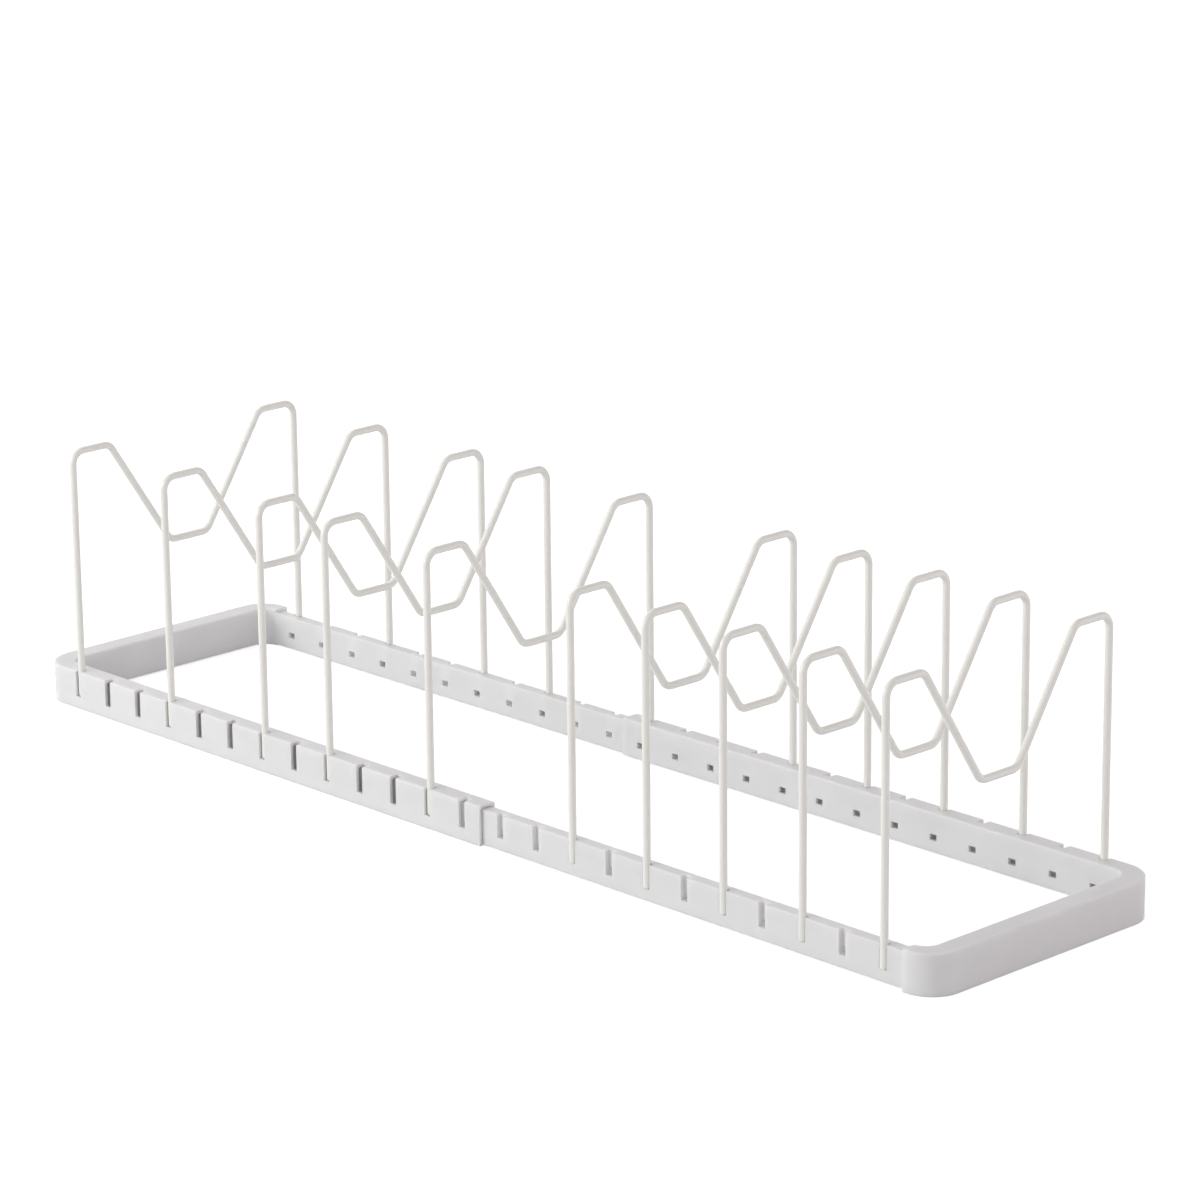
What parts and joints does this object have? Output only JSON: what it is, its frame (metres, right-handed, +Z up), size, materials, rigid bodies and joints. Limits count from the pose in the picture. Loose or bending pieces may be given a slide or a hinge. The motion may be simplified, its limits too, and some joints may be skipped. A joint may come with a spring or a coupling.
{
  "type": "pot lid rack",
  "caption": "Extending rack that stands pans and lids on edge: two nested U-shaped plastic halves with bent wire dividers set in slots.",
  "frame": {"origin": "centre of the footprint on the shelf", "axes": "+X along the rack towards the right half's end bar, +Y to the back, +Z up"},
  "size_m": [0.767, 0.187, 0.1693],
  "materials": {
    "tray_plastic": "fine satin white moulded plastic",
    "coated_wire": "off-white satin coated steel wire"
  },
  "bodies": {
    "root": {"left_tray": "tray_plastic", "right_tray": "tray_plastic", "divider_01": "coated_wire", "divider_02": "coated_wire", "divider_03": "coated_wire", "divider_04": "coated_wire", "divider_05": "coated_wire", "divider_06": "coated_wire", "divider_07": "coated_wire", "divider_08": "coated_wire", "divider_09": "coated_wire", "divider_10": "coated_wire"}
  },
  "joints": []
}
